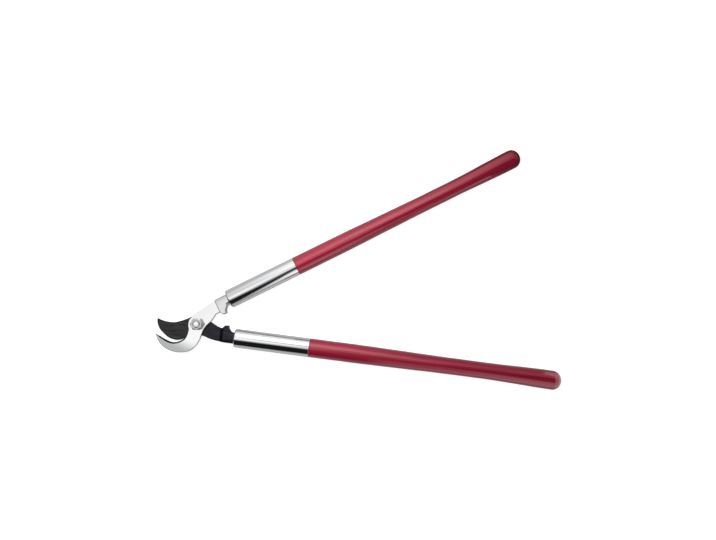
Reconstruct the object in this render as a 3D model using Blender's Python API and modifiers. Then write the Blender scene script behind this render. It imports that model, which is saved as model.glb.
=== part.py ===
"""A two-handled bypass lopper. A forged hook and a forged cutting blade turn on one bolt, and each
forging's tang is driven into a turned wooden handle through a steel ferrule.

Metres, +Z up. The lopper lies flat and partly open. The origin is the centre of the bolt head's
outer face, and the pivot's axis is Z, with the nut on top.

Both halves are drawn in one half frame: X runs from the pivot along the handle's axis, Y points away
from the other handle, and Z = 0 is the plane where the two jaw plates lap. The hook's half frame is
turned about Z only. The blade's is also turned over about X, so that its plate lies under the hook's.
"""

import math

import bmesh
import bpy
import numpy as np
from mathutils import Matrix

MM = 0.001

# Clearances
SEAT_GAP = 0.3 * MM  # between two pieces that touch
LAP_GAP = 0.3 * MM  # between the two jaw plates

# The two halves
REST_SPREAD = math.radians(33.77)  # angle between the handles at rest
HOOK_TURN = math.radians(26.36)  # the hook's handle from +X
CLOSED_HALF_ANGLE = math.radians(5.1)  # half the handles' angle when the stop lugs meet
AXIS_OFFSET = 15.4 * MM  # from the pivot out to the handle's axis

# Pivot
BOLT_RADIUS = 6.35 * MM
BOLT_CHAMFER = 1.4 * MM
BOLT_END = 1.2 * MM  # how far the bolt stands out of the nut
HEX_FLATS = 19.0 * MM
HEX_CHAMFER = 0.45 * MM  # how far the end faces' circle stays inside the flats
HEX_CHAMFER_SLOPE = math.tan(math.radians(30))
HEAD_HEIGHT = 6.5 * MM
NUT_HEIGHT = 11.0 * MM
WASHER_RADIUS = 13.0 * MM
WASHER_THICKNESS = 1.5 * MM
WASHER_EDGE = 0.2 * MM
BOSS_RADIUS = 16.4 * MM  # the forgings' round shoulder about the bolt

# Jaws
HOOK_THICKNESS = 7.0 * MM
BLADE_THICKNESS = 6.0 * MM
JAW_REACH = 72.0 * MM  # from the pivot to the tips
EDGE_ROUND = 0.9 * MM  # rounding of the forgings' outer edges
HOOK_LAND = 1.6 * MM  # square part of the hook's inner edge, next to the blade
HOOK_GRIND = 3.2 * MM  # width of the bevel on the hook's inner edge
BLADE_LAND = 0.4 * MM  # thickness left at the cutting edge
BLADE_GRIND = 11.0 * MM  # width of the bevel on the cutting edge

# Neck, stop lug and tang
NECK_START = 43.0 * MM  # from the pivot to where the lapped plate becomes the full neck
NECK_LENGTH = 22.6 * MM  # from there to the ferrule's mouth
NECK_RAMP = 6.5 * MM  # length of the cove between the lap plane and the neck
NECK_WIDTH = 19.4 * MM  # at the ferrule
NECK_HALF_THICKNESS = 8.2 * MM
NECK_CLEARANCE = 2.9 * MM  # from the neck's outer edge to the rim of the ferrule's mouth
NECK_STEP = 0.3 * MM  # how far the neck's shoulder stands out from the plate
ROOT_WIDTH = 23.8 * MM  # of the plate where the neck starts
ROOT_DROP = 0.8 * MM  # how far the plate's outer edge lies inside the neck's
NECK_RINGS = (  # share of the length, how far the inner and outer edges have drawn in, squareness
    (0.08, 0.0, 0.5, 5.0), (0.30, 0.05, 1.0, 4.0), (0.48, 0.25, 1.0, 3.5), (0.62, 0.85, 1.0, 3.2),
    (0.80, 1.0, 1.0, 3.0), (1.0, 1.0, 1.0, 3.0),
)
LUG_SETBACK = 4.6 * MM  # from the neck's start to the stop lug's flat face
LUG_LENGTH = 5.4 * MM  # of the flat face, along the line where the lugs meet
LUG_SLOPE = 5.2 * MM  # height of the lug's two flanks above its face
LUG_HALF_THICKNESS = 7.9 * MM
LUG_CHAMFER = 1.0 * MM
TANG_LENGTH = 100.0 * MM  # part of the tang inside the wood
TANG_HALF_WIDTH = 6.5 * MM
TANG_HALF_THICKNESS = 4.8 * MM
TANG_TIP_SHARE = 0.45  # the tang's tip against its root

# Ferrules
FERRULE_LENGTH = 130.5 * MM
FERRULE_RADIUS = 16.25 * MM
FERRULE_WALL = 1.2 * MM
LIP_RADIUS = 3.0 * MM  # the ferrule's end is rolled in by this much

# Wooden handles, along the axis from the ferrule: full, waisted, then swelled to a domed end
HANDLE_LENGTH = 438.2 * MM
FULL_LENGTH = 55.0 * MM
WAIST_LENGTH = 30.0 * MM
SWELL_LENGTH = 120.0 * MM
DOME_LENGTH = 15.0 * MM
WAIST_RADIUS = 14.3 * MM
SWELL_RADIUS = 16.45 * MM
SWEEP_LENGTH = 183.0 * MM  # the last part, which leans out
SWEEP = 1.4 * MM  # and how far it leans

# Drive pins through ferrule, wood and tang, from the back
PIN_RADIUS = 2.0 * MM
PIN_AT = 32.0 * MM  # from the ferrule's start
PIN_PAST_TANG = 3.0 * MM
PIN_DOME = 0.6 * MM

# Fineness of the round shapes
SPAN_STEPS = 4
ROUND_STEPS = 48
HANDLE_STEPS = 32
BAR_SIDES = 28

# Worked out from the sizes above
BLADE_TURN = HOOK_TURN - REST_SPREAD
FERRULE_START = NECK_START + NECK_LENGTH
NECK_OUTER = AXIS_OFFSET + FERRULE_RADIUS - LIP_RADIUS - NECK_CLEARANCE
NECK_INNER = NECK_OUTER - NECK_WIDTH
ROOT_OUTER = NECK_OUTER - ROOT_DROP
ROOT_INNER = ROOT_OUTER - ROOT_WIDTH
LUG_NEAR = NECK_START + LUG_SETBACK
LUG_FAR = LUG_NEAR + LUG_LENGTH
LAP_Z = HEAD_HEIGHT + WASHER_THICKNESS + BLADE_THICKNESS + 2 * SEAT_GAP + LAP_GAP / 2
HOOK_FACE_Z = LAP_Z + LAP_GAP / 2 + HOOK_THICKNESS
NUT_Z = HOOK_FACE_Z + SEAT_GAP
BOLT_TOP_Z = NUT_Z + NUT_HEIGHT + BOLT_END
NECK_END = FERRULE_START + LIP_RADIUS
WOOD_START = LIP_RADIUS + SEAT_GAP
SPIGOT_RADIUS = FERRULE_RADIUS - FERRULE_WALL - SEAT_GAP
SWELL_START = HANDLE_LENGTH - DOME_LENGTH - SWELL_LENGTH
WAIST_START = SWELL_START - WAIST_LENGTH
SWEEP_START = HANDLE_LENGTH - SWEEP_LENGTH
HEX_CORNER = HEX_FLATS / math.sqrt(3)
BOLT_HOLE_RADIUS = BOLT_RADIUS + SEAT_GAP


def clear_scene():
    for old in list(bpy.data.objects):
        bpy.data.objects.remove(old, do_unlink=True)


def new_collection(name):
    collection = bpy.data.collections.new(name)
    bpy.context.scene.collection.children.link(collection)
    return collection


def finish(name, colour, roughness, metallic):
    """A Principled material."""
    material = bpy.data.materials.new(name)
    material.use_nodes = True
    shader = material.node_tree.nodes["Principled BSDF"]
    shader.inputs["Base Color"].default_value = (*colour, 1.0)
    shader.inputs["Roughness"].default_value = roughness
    shader.inputs["Metallic"].default_value = metallic
    material.diffuse_color = (*colour, 1.0)
    return material


def smooth_shading(mesh):
    mesh.shade_smooth()
    mesh.set_sharp_from_angle(angle=math.radians(35))


def place(obj, parent, collection, material=None):
    """Put a new object into its collection, under its half's empty, with its material."""
    for other in list(obj.users_collection):
        other.objects.unlink(obj)
    collection.objects.link(obj)
    obj.parent = parent
    if material is not None:
        obj.data.materials.clear()
        obj.data.materials.append(material)
    return obj


def as_cutter(obj, parent, cutters):
    place(obj, parent, cutters)
    obj.hide_render = True
    obj.display_type = "WIRE"
    return obj


def combine(target, tool, operation):
    modifier = target.modifiers.new(operation.lower() + "_" + tool.name, "BOOLEAN")
    modifier.operation = operation
    modifier.object = tool


def object_from_bmesh(name, bm):
    mesh = bpy.data.meshes.new(name)
    bm.to_mesh(mesh)
    bm.free()
    smooth_shading(mesh)
    obj = bpy.data.objects.new(name, mesh)
    bpy.context.scene.collection.objects.link(obj)
    return obj


def loft(name, rings):
    """A closed solid through rings of equally many points, each anticlockwise seen from the last."""
    bm = bmesh.new()
    loops = [[bm.verts.new(point) for point in ring] for ring in rings]
    count = len(loops[0])
    for lower, upper in zip(loops, loops[1:]):
        for i in range(count):
            j = (i + 1) % count
            bm.faces.new((lower[i], lower[j], upper[j], upper[i]))
    bm.faces.new(reversed(loops[0]))
    bm.faces.new(loops[-1])
    return object_from_bmesh(name, bm)


def through(points, steps=SPAN_STEPS):
    """Points on a smooth open curve through the given ones: a centripetal Catmull-Rom spline."""
    knots = np.array(points, float)
    knots = np.vstack([2 * knots[0] - knots[1], knots, 2 * knots[-1] - knots[-2]])
    out = []
    for a, b, c, d in zip(knots, knots[1:], knots[2:], knots[3:]):
        t1 = math.sqrt(np.linalg.norm(b - a))
        t2 = t1 + math.sqrt(np.linalg.norm(c - b))
        t3 = t2 + math.sqrt(np.linalg.norm(d - c))
        for t in np.linspace(t1, t2, steps, endpoint=False):
            ab = a + (b - a) * (t / t1)
            bc = b + (c - b) * ((t - t1) / (t2 - t1))
            cd = c + (d - c) * ((t - t2) / (t3 - t2))
            abc = ab + (bc - ab) * (t / t2)
            bcd = bc + (cd - bc) * ((t - t1) / (t3 - t1))
            out.append(abc + (bcd - abc) * ((t - t1) / (t2 - t1)))
    out.append(knots[-2])
    return np.array(out)


def outline_of(runs):
    """Smooth runs joined end to end, with a corner where one run ends and the next begins."""
    pieces = [through(run)[:-1] for run in runs]
    pieces.append(np.array(runs[-1][-1:], float))
    return np.vstack(pieces)


def inward(outline):
    """Unit vectors that point into an anticlockwise outline at each of its points."""
    ahead = np.roll(outline, -1, axis=0) - outline
    ahead /= np.linalg.norm(ahead, axis=1)[:, None]
    along = ahead + np.roll(ahead, 1, axis=0)
    along /= np.linalg.norm(along, axis=1)[:, None]
    return np.stack([-along[:, 1], along[:, 0]], axis=1)


def stacked_plate(name, outline, levels):
    """A plate lofted through its own outline, drawn in by a different amount at each height."""
    flat = outline[:, :2]
    normals = inward(flat)
    rings = []
    for height, inset in levels:
        ring = flat + normals * inset[:, None]
        rings.append([(x, y, height) for x, y in ring])
    return loft(name, rings)


def forged_plate(name, runs, thickness, land):
    """A jaw plate on the lap plane. Each point's third value is how far its outer face is ground back:
    the first EDGE_ROUND of it as a rounded edge, the rest as a flat bevel that starts at the land.
    """
    outline = outline_of(runs)
    ground = outline[:, 2]
    rounded = np.minimum(ground, EDGE_ROUND)
    slanted = ground - rounded
    lap = LAP_GAP / 2
    levels = [(lap, 0 * ground), (lap + land, 0 * ground)]
    for share in (0.0, 0.5, 0.85, 1.0):
        depth = thickness - EDGE_ROUND * (1 - share)
        bevel = slanted * (depth - land) / (thickness - land)
        levels.append((lap + depth, bevel + rounded * (1 - math.sqrt(1 - share * share))))
    return stacked_plate(name, outline, levels)


def jaw(x, y, ground=EDGE_ROUND):
    """A point of a jaw's outline, in shares of the reach."""
    return (x * JAW_REACH, y * JAW_REACH, ground)


def boss(degrees, radius=BOSS_RADIUS):
    """A point of the round shoulder about the bolt."""
    angle = math.radians(degrees)
    return (radius * math.cos(angle), radius * math.sin(angle), EDGE_ROUND)


def shank(share, edge_share):
    """A point between the pivot and the neck: edge_share 0 on the inner edge, 1 on the outer."""
    edge = ROOT_INNER + (ROOT_OUTER - ROOT_INNER) * edge_share
    return (NECK_START * share, edge, EDGE_ROUND)


def hook_runs():
    """The hook's outline: out past the pivot and along the inner edge to the tip, then back round."""
    inner_edge = [
        shank(1.06, 0.97), shank(0.9, 0.92), shank(0.66, 0.845), shank(0.36, 0.765),
        boss(78, BOSS_RADIUS * 1.14),
        boss(97, BOSS_RADIUS), boss(128), boss(158), boss(184, BOSS_RADIUS * 1.09),
        jaw(-0.3, -0.082, HOOK_GRIND / 3), jaw(-0.366, -0.13, HOOK_GRIND * 0.6),
        jaw(-0.448, -0.158, HOOK_GRIND), jaw(-0.55, -0.168, HOOK_GRIND),
        jaw(-0.65, -0.152, HOOK_GRIND), jaw(-0.737, -0.11, HOOK_GRIND),
        jaw(-0.812, -0.038, HOOK_GRIND), jaw(-0.88, 0.055, HOOK_GRIND * 0.9),
        jaw(-0.943, 0.154, HOOK_GRIND * 0.7), jaw(-1.004, 0.246, EDGE_ROUND / 4),
    ]
    outer_edge = [
        jaw(-1.004, 0.246, EDGE_ROUND / 4), jaw(-1.013, 0.105), jaw(-0.996, -0.044),
        jaw(-0.926, -0.189), jaw(-0.792, -0.335), jaw(-0.6375, -0.433), jaw(-0.457, -0.483),
        jaw(-0.279, -0.45), jaw(-0.122, -0.3555), boss(263, BOSS_RADIUS * 1.21),
        boss(293, BOSS_RADIUS * 0.84), boss(330, BOSS_RADIUS), shank(0.52, -0.3),
        shank(0.7, -0.125), shank(0.84, 0.015), shank(0.96, 0.02), shank(1.06, 0.03),
    ]
    return [inner_edge, outer_edge]


def blade_runs():
    """The blade's outline: along the tang and the cutting edge to the tip, then back along the spine."""
    grind = BLADE_GRIND
    cutting_edge = [
        shank(1.06, 1.0), shank(0.9, 0.99), shank(0.55, 0.905), boss(64, BOSS_RADIUS * 1.27),
        boss(95, BOSS_RADIUS * 1.16), jaw(-0.19, 0.315, grind * 0.25), jaw(-0.29, 0.383, grind * 0.6),
        jaw(-0.371, 0.422, grind * 0.9), jaw(-0.458, 0.442, grind), jaw(-0.56, 0.436, grind),
        jaw(-0.664, 0.408, grind), jaw(-0.797, 0.326, grind), jaw(-0.915, 0.221, grind * 0.85),
        jaw(-0.992, 0.071, grind * 0.4), jaw(-1.0, -0.018, EDGE_ROUND / 2),
    ]
    spine = [
        jaw(-1.0, -0.018, EDGE_ROUND / 2), jaw(-0.9, 0.011), jaw(-0.769, 0.032), jaw(-0.569, 0.021),
        jaw(-0.332, -0.075), boss(226, BOSS_RADIUS * 1.04), boss(262), boss(300),
        boss(340, BOSS_RADIUS * 1.28), shank(0.72, -0.12), shank(0.9, -0.01), shank(1.06, 0.03),
    ]
    return [cutting_edge, spine]


def bar_ring(x, inner, outer, low, high, squareness, sides=BAR_SIDES):
    """A rounded-square section across the handle's axis: a superellipse between its four sides."""
    turn = np.arange(sides) * (2 * math.pi / sides)
    reach = 2 / squareness
    across = np.sign(np.cos(turn)) * np.abs(np.cos(turn)) ** reach
    up = np.sign(np.sin(turn)) * np.abs(np.sin(turn)) ** reach
    y = (inner + outer) / 2 + across * (outer - inner) / 2
    z = (low + high) / 2 + up * (high - low) / 2
    return [(x, *point) for point in zip(y, z)]


def plate_edges(runs, x):
    """The heights of a plate's inner and outer edges, at a distance along the handle by the neck."""
    outer = through(runs[0])[2 * SPAN_STEPS::-1]
    inner = through(runs[-1])[-2 * SPAN_STEPS - 1:]
    return np.interp(x, inner[:, 0], inner[:, 1]), np.interp(x, outer[:, 0], outer[:, 1])


def neck(name, runs, thickness):
    """The neck, which grows out of the plate through a cove, crosses the lap plane, and narrows to the
    ferrule's mouth. A sloped shoulder steps it up from the plate's outer face, and it stops on the end
    of the wood.
    """
    full = NECK_HALF_THICKNESS
    low = LAP_GAP / 2 + EDGE_ROUND
    high = LAP_GAP / 2 + thickness - EDGE_ROUND
    rings = []
    for share in (0.0, 0.4, 0.7, 0.9):
        x = NECK_START - NECK_RAMP * (1 - share)
        inner, outer = plate_edges(runs, x)
        depth = low - (low + full) * (1 - math.sqrt(1 - share * share))
        rings.append(bar_ring(x, inner + EDGE_ROUND, outer - EDGE_ROUND, depth, high, 8))
    inner, outer = plate_edges(runs, NECK_START)
    step = NECK_STEP
    sunk = LAP_GAP / 2 + thickness - step
    rings.append(bar_ring(NECK_START, inner - step, outer + step, step - full, sunk, 7))
    for share, inner_share, outer_share, squareness in NECK_RINGS:
        x = NECK_START + (NECK_END - NECK_START) * share
        inner = ROOT_INNER + (NECK_INNER - ROOT_INNER) * inner_share
        outer = ROOT_OUTER + (NECK_OUTER - ROOT_OUTER) * outer_share
        rings.append(bar_ring(x, inner, outer, -full, full, squareness))
    return loft(name, rings)


def tang(name, clearance, early=0.0):
    """The square tapering tang. With a clearance it is the bore that the tang is driven into."""
    rings = []
    for x, share in ((NECK_END - early, 1.0), (NECK_END + TANG_LENGTH + clearance, TANG_TIP_SHARE)):
        half_width = TANG_HALF_WIDTH * share + clearance
        half_thickness = TANG_HALF_THICKNESS * share + clearance
        ring = bar_ring(
            x, AXIS_OFFSET - half_width, AXIS_OFFSET + half_width, -half_thickness, half_thickness, 9
        )
        rings.append(ring)
    return loft(name, rings)


def from_stop_line(along, height):
    """A point given along the line where the stop lugs meet, and at a height out from it."""
    cos, sin = math.cos(CLOSED_HALF_ANGLE), math.sin(CLOSED_HALF_ANGLE)
    height += SEAT_GAP / 2
    return (along * cos + height * sin, -along * sin + height * cos)


def stop_lug(name):
    """The lug on the neck's inner edge. Its flat face meets the other half's when the jaws are shut."""
    root = AXIS_OFFSET
    corners = [
        from_stop_line(LUG_NEAR - LUG_SLOPE, root),
        from_stop_line(LUG_NEAR - LUG_SLOPE, LUG_SLOPE * 1.25),
        from_stop_line(LUG_NEAR - 0.9 * LUG_SLOPE, LUG_SLOPE * 0.92),
        from_stop_line(LUG_NEAR - LUG_CHAMFER, LUG_CHAMFER),
        from_stop_line(LUG_NEAR, 0),
        from_stop_line(LUG_FAR, 0),
        from_stop_line(LUG_FAR + 0.5 * LUG_CHAMFER, LUG_CHAMFER),
        from_stop_line(LUG_FAR + 0.1 * LUG_SLOPE, 0.8 * LUG_SLOPE),
        from_stop_line(LUG_FAR + 0.5 * LUG_SLOPE, 1.5 * LUG_SLOPE),
        from_stop_line(LUG_FAR + 1.1 * LUG_SLOPE, 2.3 * LUG_SLOPE),
        from_stop_line(LUG_FAR + 1.1 * LUG_SLOPE, root),
    ]
    outline = np.array(corners)
    inset = np.full(len(outline), LUG_CHAMFER)
    half = LUG_HALF_THICKNESS
    levels = [
        (-half, inset), (LUG_CHAMFER - half, 0 * inset), (half - LUG_CHAMFER, 0 * inset), (half, inset),
    ]
    return stacked_plate(name, outline, levels)


def turned(name, profile, steps, closed=False):
    """A turned solid about Z from a profile of (radius, height) that runs down its outer side."""
    bm = bmesh.new()
    points = [bm.verts.new((radius, 0.0, height)) for radius, height in profile]
    for upper, lower in zip(points, points[1:]):
        bm.edges.new((upper, lower))
    if closed:
        bm.edges.new((points[-1], points[0]))
    mesh = bpy.data.meshes.new(name)
    bm.to_mesh(mesh)
    bm.free()
    obj = bpy.data.objects.new(name, mesh)
    bpy.context.scene.collection.objects.link(obj)
    screw = obj.modifiers.new("turn", "SCREW")
    screw.axis = "Z"
    screw.steps = steps
    screw.render_steps = steps
    screw.use_merge_vertices = True
    screw.merge_threshold = 0.00001
    return obj


def as_mesh(obj):
    """Turn an object's modifiers into its mesh."""
    bpy.context.view_layer.update()
    depsgraph = bpy.context.evaluated_depsgraph_get()
    mesh = bpy.data.meshes.new_from_object(obj.evaluated_get(depsgraph))
    smooth_shading(mesh)
    obj.modifiers.clear()
    old, obj.data = obj.data, mesh
    mesh.name = obj.name
    bpy.data.meshes.remove(old)
    return obj


def on_handle(obj):
    """Lay a turned piece along the handle's axis, its own zero at the ferrule's start."""
    obj.rotation_euler = (0.0, math.pi / 2, 0.0)
    obj.location = (FERRULE_START, AXIS_OFFSET, 0.0)
    return obj


def quarter(centre_radius, centre_height, size, start_degrees, steps=5):
    """Profile points on a quarter circle, turning by 90 degrees from the start angle."""
    angles = np.radians(start_degrees - np.linspace(0, 90, steps))
    return [(centre_radius + size * math.cos(a), centre_height + size * math.sin(a)) for a in angles]


def ferrule(name):
    """A drawn steel tube whose mouth is rolled in round the neck."""
    inner = FERRULE_RADIUS - FERRULE_WALL
    rim = FERRULE_RADIUS - LIP_RADIUS
    profile = [(FERRULE_RADIUS, FERRULE_LENGTH)]
    profile += quarter(rim, LIP_RADIUS, LIP_RADIUS, 0)
    profile += reversed(quarter(rim, LIP_RADIUS, LIP_RADIUS - FERRULE_WALL, 0))
    profile += [(inner, FERRULE_LENGTH)]
    return on_handle(turned(name, profile, ROUND_STEPS, closed=True))


def ease(value, start, end):
    """A smooth rise from 0 at the start to 1 at the end."""
    share = min(max((value - start) / (end - start), 0.0), 1.0)
    return (1 - math.cos(math.pi * share)) / 2


def handle_radius(distance):
    """The handle's radius at a distance from the ferrule, with which it starts flush."""
    taper = (FERRULE_RADIUS - WAIST_RADIUS) * ease(distance, FULL_LENGTH, WAIST_START)
    swell = (SWELL_RADIUS - WAIST_RADIUS) * ease(distance, SWELL_START, HANDLE_LENGTH - DOME_LENGTH)
    return FERRULE_RADIUS - taper + swell


def handle(name):
    """A turned handle with a domed end, a spigot inside the ferrule and an end that leans out."""
    end = FERRULE_LENGTH + HANDLE_LENGTH
    body_end = HANDLE_LENGTH - DOME_LENGTH
    profile = []
    for angle in np.radians(np.linspace(0, 90, 8))[:-1]:
        radius = handle_radius(body_end) * math.sin(angle)
        profile.append((radius, end - DOME_LENGTH * (1 - math.cos(angle))))
    for distance in np.linspace(body_end, SEAT_GAP, 22):
        profile.append((handle_radius(distance), FERRULE_LENGTH + distance))
    profile.append((SPIGOT_RADIUS, FERRULE_LENGTH + SEAT_GAP))
    profile.append((SPIGOT_RADIUS, WOOD_START + LIP_RADIUS / 2))
    profile.append((SPIGOT_RADIUS - LIP_RADIUS / 2, WOOD_START))
    profile.append((0.0, WOOD_START))
    obj = as_mesh(turned(name, profile, HANDLE_STEPS))
    for vertex in obj.data.vertices:
        past = vertex.co.z - FERRULE_LENGTH - SWEEP_START
        vertex.co.y += SWEEP * max(0.0, past / SWEEP_LENGTH) ** 2
    return on_handle(obj)


def drill(name, radius, low, high, location, sides=ROUND_STEPS):
    """A round cutter along Z."""
    bpy.ops.mesh.primitive_cylinder_add(
        vertices=sides, radius=radius, depth=high - low, location=(*location, (low + high) / 2)
    )
    obj = bpy.context.object
    obj.name = name
    return obj


def pin_span(side):
    """Where a drive pin starts, flush in the ferrule's back, and where it ends past the tang."""
    tang_share = 1 + (TANG_TIP_SHARE - 1) * (PIN_AT - LIP_RADIUS) / TANG_LENGTH
    outer = side * FERRULE_RADIUS
    inner = -side * (TANG_HALF_THICKNESS * tang_share + PIN_PAST_TANG)
    return outer, inner


def drive_pin(name, side):
    """A round drive pin with a slightly domed head, along Z."""
    outer, inner = pin_span(side)
    length = abs(outer - inner)
    profile = [(0.0, length)]
    profile += [(PIN_RADIUS * 0.6, length - PIN_DOME * 0.3), (PIN_RADIUS, length - PIN_DOME)]
    profile += [(PIN_RADIUS, PIN_DOME), (PIN_RADIUS - PIN_DOME, 0.0), (0.0, 0.0)]
    obj = turned(name, profile, HANDLE_STEPS)
    obj.location = (FERRULE_START + PIN_AT, AXIS_OFFSET, inner)
    if side < 0:
        obj.rotation_euler = (math.pi, 0.0, 0.0)
    return obj


def pin_hole(name, side):
    outer, inner = pin_span(side)
    low, high = sorted((outer + side * LIP_RADIUS, inner - side * SEAT_GAP))
    place_at = (FERRULE_START + PIN_AT, AXIS_OFFSET)
    return drill(name, PIN_RADIUS + SEAT_GAP, low, high, place_at, HANDLE_STEPS)


def barrel_end(end, direction, chamfered):
    """Profile points past one end of a hexagon, on the cone that turns its corners off."""
    past = HEX_CHAMFER
    outer = HEX_CORNER + past
    if not chamfered:
        return [(outer, end + direction * past)]
    circle = HEX_FLATS / 2 - HEX_CHAMFER
    return [
        (circle - past / HEX_CHAMFER_SLOPE, end + direction * past),
        (outer, end - direction * (outer - circle) * HEX_CHAMFER_SLOPE),
    ]


def hexagon(name, low, high, chamfer_low, chamfer_high, cutters):
    """A hexagonal prism whose corners are turned off at the chosen ends."""
    bpy.ops.mesh.primitive_cylinder_add(
        vertices=6,
        radius=HEX_CORNER,
        depth=high - low,
        location=(0.0, 0.0, (low + high) / 2),
        rotation=(0.0, 0.0, math.pi / 6),
    )
    obj = bpy.context.object
    obj.name = name
    profile = barrel_end(high, 1, chamfer_high) + barrel_end(low, -1, chamfer_low)[::-1]
    profile = [(0.0, profile[0][1])] + profile + [(0.0, profile[-1][1])]
    barrel = as_cutter(turned(name + "_barrel", profile, ROUND_STEPS), None, cutters)
    combine(obj, barrel, "INTERSECT")
    return obj


def forging(name, half, runs, thickness, land, pin_side, material, parts, cutters):
    """Join a jaw plate, a neck, a stop lug and a tang into one forging, and drill it."""
    plate = place(forged_plate(name, runs, thickness, land), half, parts, material)
    tools = [neck(name + "_neck", runs, thickness), stop_lug(name + "_lug")]
    tools.append(tang(name + "_tang", 0.0, LIP_RADIUS))
    for tool in tools:
        combine(plate, as_cutter(tool, half, cutters), "UNION")
    bore = drill(name + "_bore", BOLT_HOLE_RADIUS, -thickness, 2 * thickness, (0.0, 0.0))
    combine(plate, as_cutter(bore, half, cutters), "DIFFERENCE")
    hole = pin_hole(name + "_pin_hole", pin_side)
    combine(plate, as_cutter(hole, half, cutters), "DIFFERENCE")
    return hole


def handle_set(prefix, half, pin_side, hole, finishes, parts, cutters):
    """One half's ferrule, wooden handle and drive pin."""
    tube = place(ferrule(prefix + "_ferrule"), half, parts, finishes["chrome"])
    combine(tube, hole, "DIFFERENCE")
    wood = place(handle(prefix + "_handle"), half, parts, finishes["red lacquer"])
    bore = tang(prefix + "_tang_bore", SEAT_GAP, LIP_RADIUS)
    combine(wood, as_cutter(bore, half, cutters), "DIFFERENCE")
    combine(wood, hole, "DIFFERENCE")
    place(drive_pin(prefix + "_pin", pin_side), half, parts, finishes["plain steel"])


def pivot_bolt(parts, cutters, material):
    """The bolt: a hexagon head under the blade and a shank up through the nut."""
    tip = BOLT_RADIUS - BOLT_CHAMFER
    profile = [(0.0, BOLT_TOP_Z), (tip, BOLT_TOP_Z), (BOLT_RADIUS, BOLT_TOP_Z - BOLT_CHAMFER)]
    profile += [(BOLT_RADIUS, HEAD_HEIGHT / 2), (0.0, HEAD_HEIGHT / 2)]
    shank_tool = as_cutter(turned("bolt_shank", profile, ROUND_STEPS), None, cutters)
    head = hexagon("pivot_bolt", 0.0, HEAD_HEIGHT, True, False, cutters)
    combine(head, shank_tool, "UNION")
    place(head, None, parts, material)


def pivot_nut(parts, cutters, material):
    nut = hexagon("pivot_nut", NUT_Z, NUT_Z + NUT_HEIGHT, True, True, cutters)
    bore = drill("nut_bore", BOLT_HOLE_RADIUS, NUT_Z - NUT_HEIGHT, NUT_Z + 2 * NUT_HEIGHT, (0.0, 0.0))
    combine(nut, as_cutter(bore, None, cutters), "DIFFERENCE")
    place(nut, None, parts, material)


def pivot_washer(parts, material):
    low = HEAD_HEIGHT + SEAT_GAP
    high = low + WASHER_THICKNESS
    inside = WASHER_RADIUS - WASHER_EDGE
    profile = [
        (BOLT_HOLE_RADIUS, high), (inside, high), (WASHER_RADIUS, high - WASHER_EDGE),
        (WASHER_RADIUS, low + WASHER_EDGE), (inside, low), (BOLT_HOLE_RADIUS, low),
    ]
    place(turned("pivot_washer", profile, ROUND_STEPS, closed=True), None, parts, material)


def half_frame(name, turned_over, turn, collection):
    """The empty that carries one half, on the pivot's axis in the lap plane."""
    empty = bpy.data.objects.new(name, None)
    empty.matrix_world = (
        Matrix.Translation((0.0, 0.0, LAP_Z))
        @ Matrix.Rotation(turn, 4, "Z")
        @ Matrix.Rotation(math.pi if turned_over else 0.0, 4, "X")
    )
    collection.objects.link(empty)
    return empty


def main():
    clear_scene()
    parts = new_collection("lopper")
    cutters = new_collection("cutters")
    finishes = {
        "bright forging": finish("bright forging", (0.72, 0.73, 0.74), 0.28, 1.0),
        "black forging": finish("black forging", (0.035, 0.035, 0.04), 0.45, 0.4),
        "chrome": finish("chrome", (0.86, 0.87, 0.88), 0.06, 1.0),
        "red lacquer": finish("red lacquer", (0.36, 0.02, 0.045), 0.22, 0.0),
        "plain steel": finish("plain steel", (0.6, 0.6, 0.62), 0.3, 1.0),
    }

    hook_half = half_frame("hook_half", False, HOOK_TURN, parts)
    hole = forging(
        "hook_blade", hook_half, hook_runs(), HOOK_THICKNESS, HOOK_LAND, -1,
        finishes["bright forging"], parts, cutters,
    )
    handle_set("upper", hook_half, -1, hole, finishes, parts, cutters)

    blade_half = half_frame("blade_half", True, BLADE_TURN, parts)
    hole = forging(
        "cutting_blade", blade_half, blade_runs(), BLADE_THICKNESS, BLADE_LAND, 1,
        finishes["black forging"], parts, cutters,
    )
    handle_set("lower", blade_half, 1, hole, finishes, parts, cutters)

    pivot_bolt(parts, cutters, finishes["plain steel"])
    pivot_nut(parts, cutters, finishes["plain steel"])
    pivot_washer(parts, finishes["plain steel"])


main()
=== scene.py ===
"""The looks of a two-handled bypass lopper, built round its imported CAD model.

Metres, +Z up. The lopper lies flat and partly open, with the pivot's axis on Z and the nut on top.

Both halves are drawn in one half frame, as in the CAD model: X runs from the pivot along the handle's
axis, Y points away from the other handle, and Z = 0 is the plane where the two jaws lap. The blade's
half is turned over about X.
"""

import math

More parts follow.
